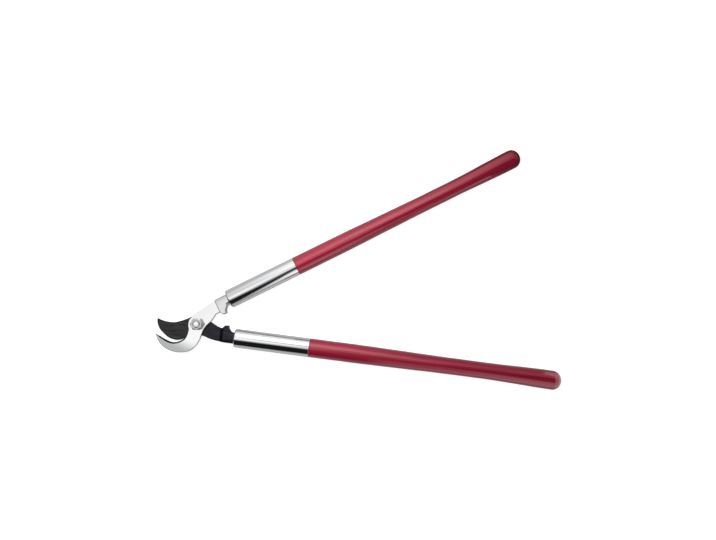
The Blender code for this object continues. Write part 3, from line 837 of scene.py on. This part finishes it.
def worked_out(tree, operation, first, second):
    """Two masks put together by one of the Math node's operations."""
    made = node(tree, "ShaderNodeMath", operation=operation)
    tree.links.new(first, made.inputs[0])
    tree.links.new(second, made.inputs[1])
    return made.outputs[0]


def product(tree, first, second):
    """Two masks multiplied."""
    return worked_out(tree, "MULTIPLY", first, second)


def total(tree, first, second):
    """Two masks added."""
    return worked_out(tree, "ADD", first, second)


def band(tree, place, direction, middle, core, soft):
    """A mask of 1 over a core about the middle distance, which fades out over a soft width."""
    start, end = middle - core / 2, middle + core / 2
    rising = rise_along(tree, place, direction, start - soft, start)
    falling = rise_along(tree, place, direction, end + soft, end)
    return product(tree, rising, falling)


def painted(tree, colour, factor, other, blend_type="MIX"):
    """A colour that turns into another where the mask is 1."""
    mix = node(tree, "ShaderNodeMix", data_type="RGBA", blend_type=blend_type)
    tree.links.new(factor, mix.inputs["Factor"])
    tree.links.new(colour, mix.inputs["A"])
    mix.inputs["B"].default_value = (*other, 1.0)
    return mix.outputs["Result"]


def shaded(tree, colour, factor, tint):
    """A colour multiplied by a tint where the mask is 1."""
    return painted(tree, colour, factor, tint, "MULTIPLY")


def noise(tree, place, scale=1.0, detail=2.0, roughness=0.5):
    """A noise texture on a place."""
    made = node(tree, "ShaderNodeTexNoise")
    made.inputs["Scale"].default_value = scale
    made.inputs["Detail"].default_value = detail
    made.inputs["Roughness"].default_value = roughness
    tree.links.new(place, made.inputs["Vector"])
    return made


def bump(tree, height, distance):
    """A normal tilted by a height mask, whose full rise is the distance."""
    made = node(tree, "ShaderNodeBump")
    made.inputs["Distance"].default_value = distance
    tree.links.new(height, made.inputs["Height"])
    return made.outputs["Normal"]


def feed(tree, shader, colour, roughness, normal):
    """Link what changes over the surface to its shader."""
    tree.links.new(colour, shader.inputs["Base Color"])
    tree.links.new(roughness, shader.inputs["Roughness"])
    tree.links.new(normal, shader.inputs["Normal"])


# Marks that several finishes share


FLOAT = "NodeSocketFloat"
VECTOR = "NodeSocketVector"


def new_group(name, inputs, outputs):
    """A shader node group with named sockets: (name, kind, default) in, (name, kind) out."""
    group = bpy.data.node_groups.new(name, "ShaderNodeTree")
    for label, kind, default in inputs:
        socket = group.interface.new_socket(label, in_out="INPUT", socket_type=kind)
        socket.default_value = default
    for label, kind in outputs:
        group.interface.new_socket(label, in_out="OUTPUT", socket_type=kind)
    entry = group.nodes.new("NodeGroupInput")
    leave = group.nodes.new("NodeGroupOutput")
    return group, entry, leave


def placed_group(tree, group, place, **values):
    """The group as a node of a material, with its place linked and values for its other inputs."""
    made = node(tree, "ShaderNodeGroup")
    made.node_tree = group
    tree.links.new(place, made.inputs["Place"])
    for label, value in values.items():
        made.inputs[label].default_value = value
    return made


def streak_group():
    """Fine parallel marks: noise on a place that is squeezed by a different amount along each axis.

    The contrast spreads the noise about its middle, 0.5, before it is cut off at 0 and 1.
    """
    group, entry, leave = new_group(
        "streaks",
        [("Place", VECTOR, (0, 0, 0)), ("Density", VECTOR, (1, 1, 1)), ("Contrast", FLOAT, 1.0)],
        [("Mark", FLOAT)],
    )
    links = group.links
    squeeze = node(group, "ShaderNodeVectorMath", operation="MULTIPLY")
    links.new(entry.outputs["Place"], squeeze.inputs[0])
    links.new(entry.outputs["Density"], squeeze.inputs[1])
    fine = noise(group, squeeze.outputs[0], detail=3.0, roughness=0.6)
    contrast = node(group, "ShaderNodeMath", operation="MULTIPLY_ADD")
    links.new(fine.outputs["Fac"], contrast.inputs[0])
    links.new(entry.outputs["Contrast"], contrast.inputs[1])
    half = node(group, "ShaderNodeMath", operation="MULTIPLY_ADD")
    half.inputs[1].default_value = -0.5
    half.inputs[2].default_value = 0.5
    links.new(entry.outputs["Contrast"], half.inputs[0])
    links.new(half.outputs[0], contrast.inputs[2])
    clamp = node(group, "ShaderNodeClamp")
    links.new(contrast.outputs[0], clamp.inputs["Value"])
    links.new(clamp.outputs[0], leave.inputs["Mark"])
    return group


def blotches(tree, place, size):
    """Soft, cloudy noise."""
    cloudy = noise(tree, place, detail=4.0, roughness=0.55)
    tree.links.new(size, cloudy.inputs["Scale"])
    return cloudy.outputs["Fac"]


def specks(tree, place):
    """Pinpoints: 1 at the middle of each cell of a pattern of cells, and 0 a little way out."""
    cells = node(tree, "ShaderNodeTexVoronoi", feature="F1")
    cells.inputs["Scale"].default_value = 420.0
    tree.links.new(place, cells.inputs["Vector"])
    return rise(tree, cells.outputs["Distance"], start=0.10, end=0.03, shape="LINEAR")


def scratches(tree, place):
    """Stray lines: the peaks of a noise that leans and is squeezed, on a place that another noise bends."""
    bend = noise(tree, place, scale=14.0)
    bent = node(tree, "ShaderNodeVectorMath", operation="MULTIPLY_ADD")
    bent.inputs[1].default_value = (0.02, 0.02, 0.02)
    tree.links.new(bend.outputs["Color"], bent.inputs[0])
    tree.links.new(place, bent.inputs[2])
    lean = node(tree, "ShaderNodeMapping")
    lean.inputs["Rotation"].default_value = (0.2, 0.1, 0.6)
    lean.inputs["Scale"].default_value = (40.0, 900.0, 60.0)
    tree.links.new(bent.outputs[0], lean.inputs["Vector"])
    lines = noise(tree, lean.outputs[0], detail=0.0)
    return rise(tree, lines.outputs["Fac"], start=0.70, end=0.80, shape="LINEAR")


def wear_group():
    """Handling marks: soft blotches, a few pinpoint specks and faint stray scratches."""
    group, entry, leave = new_group(
        "wear",
        [("Place", VECTOR, (0, 0, 0)), ("Size", FLOAT, 60.0)],
        [("Blotch", FLOAT), ("Speck", FLOAT), ("Scratch", FLOAT)],
    )
    place = entry.outputs["Place"]
    group.links.new(blotches(group, place, entry.outputs["Size"]), leave.inputs["Blotch"])
    group.links.new(specks(group, place), leave.inputs["Speck"])
    group.links.new(scratches(group, place), leave.inputs["Scratch"])
    return group


# Finishes


def chrome(groups):
    """Mirror chrome over a drawn tube: faint lines along it, and smudges that roughen it a little."""
    material, tree, shader = new_material("mirror chrome")
    place = half_place(tree)
    lines = placed_group(tree, groups["streaks"], place, Density=(6.0, 700.0, 700.0), Contrast=1.6)
    wear = placed_group(tree, groups["wear"], place, Size=35.0)
    base = blend(tree, lines.outputs["Mark"], low=(0.84, 0.845, 0.86), high=(0.93, 0.935, 0.94))
    smudge = spread(tree, wear.outputs["Blotch"], low=0.02, high=0.08)
    scratch = spread(tree, wear.outputs["Scratch"], low=0.0, high=0.1)
    normal = bump(tree, lines.outputs["Mark"], distance=0.004 * MM)
    feed(tree, shader, base, total(tree, smudge, scratch), normal)
    shader.inputs["Metallic"].default_value = 1.0
    return material


def lacquer(groups):
    """Deep red lacquer over turned hardwood: fine pores run along the grain under a clear coat."""
    material, tree, shader = new_material("red lacquer")
    place = half_place(tree)
    grain = placed_group(tree, groups["streaks"], place, Density=(9.0, 420.0, 420.0), Contrast=2.4)
    wear = placed_group(tree, groups["wear"], place, Size=22.0)
    base = blend(tree, grain.outputs["Mark"], low=(0.18, 0.005, 0.020), high=(0.31, 0.009, 0.034))
    rough = spread(tree, wear.outputs["Blotch"], low=0.24, high=0.34)
    scratch = spread(tree, wear.outputs["Scratch"], low=0.0, high=-0.8)
    height = total(tree, grain.outputs["Mark"], scratch)
    feed(tree, shader, base, rough, bump(tree, height, distance=0.006 * MM))
    shader.inputs["Metallic"].default_value = 0.35
    shader.inputs["Coat Weight"].default_value = 1.0
    shader.inputs["Coat IOR"].default_value = 1.6
    shader.inputs["Coat Roughness"].default_value = 0.10
    shader.inputs["Specular IOR Level"].default_value = 0.2
    return material


def bright_forging(groups):
    """A forging ground and polished bright, with faint grinding lines across the handle.

    It is darker past the shoulder, and painted shade darkens it at the shoulder, towards the hook's tip and
    on the hook's ground inner wall.
    """
    material, tree, shader = new_material("bright forging")
    place = half_place(tree)
    lines = placed_group(tree, groups["streaks"], place, Density=(1500.0, 60.0, 300.0), Contrast=1.5)
    wear = placed_group(tree, groups["wear"], place, Size=50.0)
    polished = blend(tree, lines.outputs["Mark"], low=(0.93, 0.931, 0.933), high=(0.99, 0.99, 0.992))
    # Painted shade: the hook grows darker towards its tip
    crescent = rise_along(tree, place, CRESCENT_WAY, CRESCENT_START, CRESCENT_END)
    # The neck past the shoulder is darker
    neck = rise_along(tree, place, ALONG, NECK_START, NECK_END)
    # Painted shade: a dark band along the neck's shoulder
    line = band(tree, place, ALONG, SHOULDER_AT, SHOULDER_LINE, SHOULDER_LINE_SOFT)
    # Painted shade on the hook's inner wall
    wall = node(tree, "ShaderNodeAttribute", attribute_name="inner_wall").outputs["Fac"]
    shaded_polish = shaded(tree, polished, crescent, (0.49, 0.50, 0.505))
    shaded_polish = shaded(tree, shaded_polish, neck, (0.81, 0.81, 0.815))
    shaded_polish = shaded(tree, shaded_polish, line, (0.35, 0.35, 0.35))
    shaded_polish = shaded(tree, shaded_polish, wall, (0.20, 0.20, 0.20))
    cloudy = spread(tree, wear.outputs["Blotch"], low=-0.02, high=0.03)
    rough = total(tree, spread(tree, lines.outputs["Mark"], low=0.12, high=0.17), cloudy)
    feed(tree, shader, shaded_polish, rough, bump(tree, lines.outputs["Mark"], distance=0.003 * MM))
    shader.inputs["Metallic"].default_value = 1.0
    return material


def black_forging(groups):
    """A forging with a satin black coat that keeps the faint unevenness of the steel below."""
    material, tree, shader = new_material("black forging")
    place = half_place(tree)
    lines = placed_group(tree, groups["streaks"], place, Density=(40.0, 300.0, 120.0), Contrast=2.2)
    wear = placed_group(tree, groups["wear"], place, Size=60.0)
    patchy = product(tree, lines.outputs["Mark"], wear.outputs["Blotch"])
    patchy = total(tree, patchy, wear.outputs["Speck"])
    base = blend(tree, patchy, low=(0.021, 0.021, 0.022), high=(0.092, 0.092, 0.095))
    tang = rise_along(tree, place, ALONG, BLUE_START, BLUE_END)
    # Painted shade in the hollow of the neck's shoulder
    hollow = band(tree, place, ALONG, SHOULDER_AT, SHOULDER_HOLLOW, SHOULDER_HOLLOW_SOFT)
    base = shaded(tree, base, tang, (0.76, 0.76, 0.94))
    base = shaded(tree, base, hollow, (0.15, 0.15, 0.17))
    rough = spread(tree, wear.outputs["Blotch"], low=0.30, high=0.44)
    height = total(tree, lines.outputs["Mark"], wear.outputs["Blotch"])
    feed(tree, shader, base, rough, bump(tree, height, distance=0.01 * MM))
    shader.inputs["Metallic"].default_value = 0.9
    shader.inputs["Specular IOR Level"].default_value = 0.2
    return material


def bolt_end_highlight(tree, place):
    """A mask for the painted highlight on the bolt's end: near an axis a little to one side of the bolt's,
    and at the top.
    """
    flattened = node(tree, "ShaderNodeVectorMath", operation="MULTIPLY_ADD")
    flattened.inputs[1].default_value = (1.0, 1.0, 0.0)
    flattened.inputs[2].default_value = (0.0, BOLT_HIGHLIGHT_OFFSET, 0.0)
    tree.links.new(place, flattened.inputs[0])
    radius = node(tree, "ShaderNodeVectorMath", operation="LENGTH")
    tree.links.new(flattened.outputs[0], radius.inputs[0])
    middle = rise(tree, radius.outputs["Value"], BOLT_HIGHLIGHT_EDGE, BOLT_HIGHLIGHT_RADIUS)
    high = rise_along(tree, place, UP, BOLT_HIGHLIGHT_LOW_Z, BOLT_HIGHLIGHT_HIGH_Z)
    return product(tree, middle, high)


def plain_steel(groups):
    """Zinc-plated steel: fine turned rings, a slightly cloudy plate, painted shade on the side walls and a
    painted highlight on the bolt's end.
    """
    material, tree, shader = new_material("plain steel")
    place = half_place(tree)
    lines = placed_group(tree, groups["streaks"], place, Density=(300.0, 300.0, 1500.0), Contrast=1.6)
    wear = placed_group(tree, groups["wear"], place, Size=150.0)
    plated = blend(tree, wear.outputs["Blotch"], low=(0.58, 0.58, 0.59), high=(0.74, 0.74, 0.75))
    # Painted shade: the side walls are darker
    side = node(tree, "ShaderNodeAttribute", attribute_name="side_wall").outputs["Fac"]
    base = shaded(tree, plated, side, (0.55, 0.55, 0.55))
    # Painted highlight on the bolt's end
    base = painted(tree, base, bolt_end_highlight(tree, place), (0.99, 0.99, 0.99))
    rough = spread(tree, wear.outputs["Blotch"], low=0.16, high=0.28)
    feed(tree, shader, base, rough, bump(tree, lines.outputs["Mark"], distance=0.01 * MM))
    shader.inputs["Metallic"].default_value = 1.0
    return material


# Studio


def ray_masks(tree):
    """Two masks: 1 for rays from the camera, and 1 for these and rays that metal or glass sends on."""
    path = node(tree, "ShaderNodeLightPath")
    camera = path.outputs["Is Camera Ray"]
    seen = total(tree, camera, path.outputs["Is Glossy Ray"])
    seen = total(tree, seen, path.outputs["Is Transmission Ray"])
    clamp = node(tree, "ShaderNodeClamp")
    tree.links.new(seen, clamp.inputs["Value"])
    return camera, clamp.outputs[0]


def make_world():
    """White where it is seen, and a soft even light otherwise."""
    world = bpy.data.worlds.new("studio")
    bpy.context.scene.world = world
    world.use_nodes = True
    tree = world.node_tree
    background = tree.nodes["Background"]
    background.inputs["Color"].default_value = (1.0, 1.0, 1.0, 1.0)
    seen = ray_masks(tree)[1]
    tree.links.new(spread(tree, seen, AMBIENT, WHITE), background.inputs["Strength"])


def square_grid(first_span, second_span, steps):
    """The two coordinates of a grid's points, row by row, and the four-cornered faces between them."""
    first, second = np.meshgrid(np.linspace(*first_span, steps), np.linspace(*second_span, steps))
    row = np.arange(steps - 1)[:, None] * steps
    side = np.arange(steps - 1)[None, :]
    corners = [row + side, row + side + 1, row + side + steps + 1, row + side + steps]
    return first.ravel(), second.ravel(), np.stack(corners, axis=-1).reshape(-1, 4).tolist()


def studio_sheet(name, points, faces):
    """A sheet of the studio, and the node tree of its bare material."""
    mesh = bpy.data.meshes.new(name)
    mesh.from_pydata(points.tolist(), [], faces)
    sheet = linked(name, mesh)
    material, tree = bare_material(name)
    mesh.materials.append(material)
    return sheet, tree


def make_floor():
    """A plain white floor. It keeps the lopper's shadow, which the camera sees faintly. Shiny surfaces
    see it grey, and nearly dark past the upper handle's end, where the darkness is painted shade.
    """
    x, y, faces = square_grid(FLOOR_SPAN, FLOOR_SPAN, 2)
    tree = studio_sheet("floor", points_at(x, y, cad_box[0].z - FLOOR_GAP), faces)[1]
    camera, seen = ray_masks(tree)
    place = node(tree, "ShaderNodeTexCoord").outputs["Object"]
    # Painted shade: shiny surfaces see the floor darker towards its far corner, past the upper handle's end
    far_corner = rise_along(tree, place, FLOOR_FALL_WAY, FLOOR_FALL_START, FLOOR_FALL_END)
    painted_floor_shade = product(tree, far_corner, spread(tree, camera, low=1.0, high=0.0))
    kept = spread(tree, product(tree, seen, painted_floor_shade), low=1.0, high=FLOOR_FAR_SHARE)
    colour = spread(tree, seen, low=FLOOR_FOR_LIGHT, high=FLOOR_FOR_SHINE)
    colour = total(tree, colour, spread(tree, camera, low=0.0, high=FLOOR_CAMERA_MORE))
    strength = product(tree, seen, spread(tree, camera, low=FLOOR_SHINE_GLOW, high=FLOOR_CAMERA_GLOW))
    lit = node(tree, "ShaderNodeBsdfDiffuse")
    glow = node(tree, "ShaderNodeEmission")
    tree.links.new(product(tree, colour, kept), lit.inputs["Color"])
    tree.links.new(product(tree, strength, kept), glow.inputs["Strength"])
    finish_surface(tree, lit, glow)


def glowing_sheet(name, points, faces, brightness, see_through=True):
    """A sheet that only shiny surfaces see, as bright at each point as its brightness says.

    A see-through sheet adds to what is seen behind it.
    """
    sheet, tree = studio_sheet(name, points, faces)
    attribute = sheet.data.attributes.new("brightness", "FLOAT", "POINT")
    attribute.data.foreach_set("value", brightness.astype(np.float32))
    stored = node(tree, "ShaderNodeAttribute", attribute_name="brightness")
    glow = node(tree, "ShaderNodeEmission")
    tree.links.new(stored.outputs["Fac"], glow.inputs["Strength"])
    shaders = [glow]
    if see_through:
        shaders.append(node(tree, "ShaderNodeBsdfTransparent"))
    finish_surface(tree, *shaders)
    sheet.visible_camera = False
    sheet.visible_diffuse = False
    sheet.visible_shadow = False
    sheet.visible_transmission = False
    sheet.visible_volume_scatter = False


def step(value, start, end):
    """A smooth rise from 0 to 1: three times the square of the share less twice its cube."""
    share = np.clip((value - start) / (end - start), 0.0, 1.0)
    return share * share * (3 - 2 * share)


def white_cloth(across, away, tilt, height):
    """The tent's white cloth, duller near the floor, with a grey cloth at the back left.

    A seam runs just behind the top. The white falls off to both sides, and is gone at the right in front.
    """
    bearing = np.degrees(np.arctan2(across, away))
    white = TENT_LOW + (TENT_HIGH - TENT_LOW) * step(height, *WHITE_HEIGHTS)
    grey = (1 - step(bearing, *GREY_RIGHT_BEARINGS)) * (away > 0) * (1 - step(height, *GREY_TOP_HEIGHTS))
    white = white * (1 - GREY_LOSS * grey)
    seam = step(-tilt, *SEAM_NEAR_TILTS) * (1 - step(-tilt, *SEAM_FAR_TILTS)) * step(across, *SEAM_LEFT_END)
    white = white * (1 - SEAM_LOSS * seam)
    white = white * (1 - LEFT_LOSS * step(-across, *LEFT_FALL))
    behind = step(away, *BACK_EDGE)
    white = white * (1 - BACK_RIGHT_LOSS * behind * step(across, *BACK_RIGHT_FALL))
    overhead = (1 - step(away, *TOP_BACK_EDGE)) * step(away, *TOP_FRONT_EDGE)
    white = white * (1 - overhead * step(across, *TOP_RIGHT_FALL))
    return white * (1 - (1 - behind) * step(across, *FRONT_RIGHT_FALL))


def dark_cloth(across, away, tilt, height):
    """Where the dark cloth hangs: in front, under the camera, and in a thin tail overhead.

    Its free edge on the right is slanted, its hem drops to the floor on the left, and the tail leans
    back on the right.
    """
    bearing = np.degrees(np.arctan2(across, -away))
    free_edge = FREE_EDGE_HEIGHT + FREE_EDGE_SLOPE * (bearing - FREE_EDGE_BEARING)
    hem = HEM_DROP * step(bearing, *HEM_BEARINGS) - HEM_DROP
    cloth = step(tilt, *CLOTH_TOP_TILTS) * step(height - free_edge, *FREE_EDGE_SOFT)
    cloth = cloth * step(height - hem, *HEM_SOFT)
    lean = TAIL_LEAN * step(across, *TAIL_LEAN_SPAN)
    front = 1 - step(tilt, TAIL_FRONT_START, TAIL_FRONT_END - lean / 2)
    tail = step(tilt + lean, *TAIL_BACK_TILTS) * front * step(across, *TAIL_LEFT_END)
    return np.maximum(cloth, tail)


def tent_brightness(direction):
    """How bright the tent is in each direction from its middle: the dark cloth over the white one.

    The tilt is how far a direction leans forward from overhead, and the height is its angle above the
    floor.
    """
    across, away, up = np.moveaxis(direction, -1, 0)
    tilt = np.degrees(np.arctan2(-away, np.maximum(up, 0.0001)))
    height = np.degrees(np.arcsin(np.clip(up, -1.0, 1.0)))
    white = white_cloth(across, away, tilt, height)
    return white + (TENT_DARK - white) * dark_cloth(across, away, tilt, height)


def make_tent():
    """A dome of cloth that only shiny surfaces see. It gives the chrome its bands.

    Each ring is a circle at an angle above the floor, and a fan of faces closes the top.
    """
    bearing = angles(TENT_SIDES)
    heights = np.linspace(0.0, math.pi / 2, TENT_RINGS)[:-1, None]
    rings = ring(np.cos(heights), np.sin(heights), bearing)
    count = len(rings)
    directions = np.vstack([rings.reshape(-1, 3), UP])
    points = np.array(TENT_MIDDLE) + TENT_RADIUS * directions
    faces = ring_faces(count, TENT_SIDES, looped=False)
    faces += fan_faces(count * TENT_SIDES, (count - 1) * TENT_SIDES, TENT_SIDES)
    glowing_sheet("tent", points, faces, tent_brightness(directions), see_through=False)


def panel_glow(x, y):
    """How bright the panel is: a soft ridge along X that fades at both ends, at the right on a slant."""
    ridge = step(y, *PANEL_NEAR_FADE) * (1 - step(y, *PANEL_FAR_FADE))
    slanted = x + PANEL_SLANT * (y - PANEL_SLANT_Y)
    return PANEL_GLOW * ridge * step(x, *PANEL_LEFT_FADE) * (1 - step(slanted, *PANEL_RIGHT_FADE))


def make_panel():
    """A light that hangs over the back of the lopper and adds to what shiny surfaces see of the tent."""
    x, y, faces = square_grid(PANEL_X_SPAN, PANEL_Y_SPAN, PANEL_STEPS)
    glowing_sheet("panel", points_at(x, y, PANEL_HEIGHT), faces, panel_glow(x, y))


def make_card():
    """A white card that stands past the lower handle's end and brightens its dome."""
    y, z, faces = square_grid(CARD_SPAN, (0.0, CARD_HEIGHT), 2)
    glowing_sheet("card", points_at(CARD_X, y, z), faces, np.full_like(y, CARD_GLOW))


def make_low_card():
    """A grey card in front of the lower handle. It fades out at the left and at its top edge, which
    drops to the right.
    """
    x, z, faces = square_grid(LOW_CARD_SPAN, (0.0, LOW_CARD_HEIGHT), LOW_CARD_STEPS)
    top = LOW_CARD_HEIGHT * (1 - LOW_CARD_DROP * step(x, *LOW_CARD_DROP_SPAN))
    left = LOW_CARD_SPAN[0]
    glow = LOW_CARD_GLOW * (1 - step(z, top - LOW_CARD_TOP_FADE, top))
    glow = glow * step(x, left, left + LOW_CARD_LEFT_FADE)
    glowing_sheet("low_card", points_at(x, LOW_CARD_Y, z), faces, glow)


def make_lamp():
    """A soft rectangular lamp, which shiny surfaces don't see.

    A lamp shines against its own Z, so its Z runs from its aim to its place. Its X is square to that and
    to +Y, which is up in the picture.
    """
    lamp = bpy.data.lights.new("softbox", "AREA")
    lamp.shape = "RECTANGLE"
    lamp.size = LAMP_WIDTH
    lamp.size_y = LAMP_DEPTH
    lamp.energy = LAMP_POWER
    obj = linked("softbox", lamp)
    axis = np.array(LAMP_PLACE) - np.array(LAMP_AIM)
    axis /= np.linalg.norm(axis)
    side = np.cross([0.0, 1.0, 0.0], axis)
    side /= np.linalg.norm(side)
    look = np.eye(4)
    look[:3, :3] = np.stack([side, np.cross(axis, side), axis], axis=1)
    look[:3, 3] = LAMP_PLACE
    obj.matrix_world = Matrix(look.tolist())
    obj.visible_glossy = False


def make_camera():
    """The camera at the photograph's angle."""
    camera = bpy.data.cameras.new("camera")
    camera.lens = CAMERA_LENS
    camera.sensor_width = SENSOR_WIDTH
    camera.clip_start = 0.05
    camera.clip_end = 20.0
    obj = linked("camera", camera)
    obj.location = CAMERA_PLACE
    obj.rotation_euler = (CAMERA_TILT, 0.0, 0.0)
    bpy.context.scene.camera = obj


def make_lopper():
    """All eleven pieces, each with its finish."""
    groups = {"streaks": streak_group(), "wear": wear_group()}
    finishes = {
        "chrome": chrome(groups),
        "lacquer": lacquer(groups),
        "bright": bright_forging(groups),
        "black": black_forging(groups),
        "steel": plain_steel(groups),
    }
    make_forging("hook", HOOK_HALF, "hook_half", "hook_blade", finishes["bright"])
    make_forging("blade", BLADE_HALF, "blade_half", "cutting_blade", finishes["black"])
    # A pin's head is at the back, which is low in the hook's half and high in the blade's, turned over
    halves = (("upper", HOOK_HALF, "hook_half", -1), ("lower", BLADE_HALF, "blade_half", 1))
    for prefix, half, body, side in halves:
        hole = make_pin_hole(prefix + "_pin_hole", half, side)
        phase = WAVE_PHASES[prefix]
        make_handle(prefix + "_wood", half, body, prefix + "_handle", phase, hole, finishes["lacquer"])
        make_ferrule(prefix + "_tube", half, body, prefix + "_ferrule", hole, finishes["chrome"])
        make_pin(prefix + "_drive_pin", half, body, prefix + "_pin", side, finishes["steel"])
        bpy.data.objects.remove(hole)
    make_bolt(finishes["steel"])
    make_nut(finishes["steel"])
    make_washer(finishes["steel"])


def make_studio():
    """Everything round the lopper."""
    make_camera()
    make_world()
    make_floor()
    make_tent()
    make_panel()
    make_card()
    make_low_card()
    make_lamp()
    bpy.context.scene.view_settings.view_transform = "Standard"


make_lopper()
make_studio()
